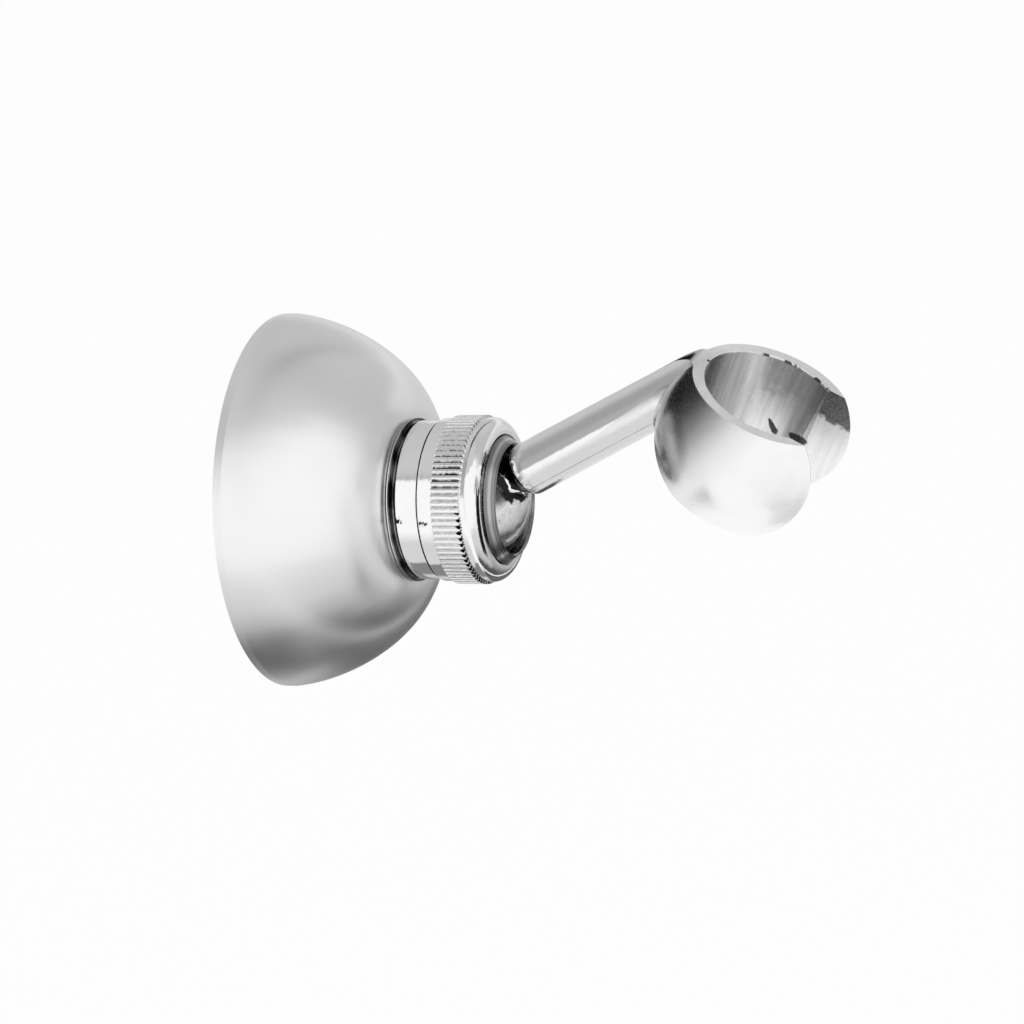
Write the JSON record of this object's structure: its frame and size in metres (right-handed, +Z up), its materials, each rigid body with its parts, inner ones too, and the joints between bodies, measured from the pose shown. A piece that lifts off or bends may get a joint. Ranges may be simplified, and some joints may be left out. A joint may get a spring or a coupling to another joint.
{
  "type": "hand shower holder",
  "caption": "Wall holder for a hand shower: bell flange, ball joint clamped by a knurled ring nut, and an arm with an open cradle.",
  "frame": {"origin": "centre of the flange's rim, in the plane of the wall", "axes": "+Y into the wall, the holder stands out along -Y; +Z up; +X to the right of someone who faces the wall"},
  "size_m": [0.066, 0.1034, 0.066],
  "materials": {
    "satin_chrome": "satin",
    "polished_chrome": "polished",
    "grey_chrome": "polished, thin plating",
    "zinc_steel": "zinc plated",
    "white_nylon": "moulded",
    "fibre": "matte",
    "black_rubber": "matte"
  },
  "bodies": {
    "wall_side": {"wall_flange": "satin_chrome", "mounting_plate": "zinc_steel", "joint_body": "polished_chrome", "nose_washer": "fibre"},
    "seat": {"ball_seat": "white_nylon", "friction_ring": "black_rubber"},
    "ball": {"ball_stud": "polished_chrome"},
    "arm": {"arm_cradle": "polished_chrome"},
    "clamp_ring": {"front_ring": "grey_chrome"},
    "nut": {"ring_nut": "polished_chrome"}
  },
  "joints": [
    {"name": "joint_swivel", "type": "hinge", "parent": "wall_side", "child": "seat", "pos_m": [0, -0.03434, 0], "axis": [0, -1, 0], "continuous": true},
    {"name": "joint_tilt", "type": "hinge", "parent": "seat", "child": "ball", "pos_m": [0, -0.03434, 0], "axis": [-1, 0, 0], "range_deg": [-59.2, 2]},
    {"name": "arm_spin", "type": "hinge", "parent": "ball", "child": "arm", "pos_m": [0, -0.03434, 0], "axis": [0, -0.878, 0.4787], "continuous": true},
    {"name": "ring_slide", "type": "slide", "parent": "wall_side", "child": "clamp_ring", "axis": [0, -1, 0], "range_m": [0, 0.0005]},
    {"name": "nut_turn", "type": "hinge", "parent": "clamp_ring", "child": "nut", "pos_m": [0, -0.035, 0], "axis": [0, -1, 0], "range_deg": [0, 120]}
  ],
  "couplings": [
    {"joint": "nut_turn", "follows": "ring_slide", "rad_per_m": 4188.8}
  ]
}
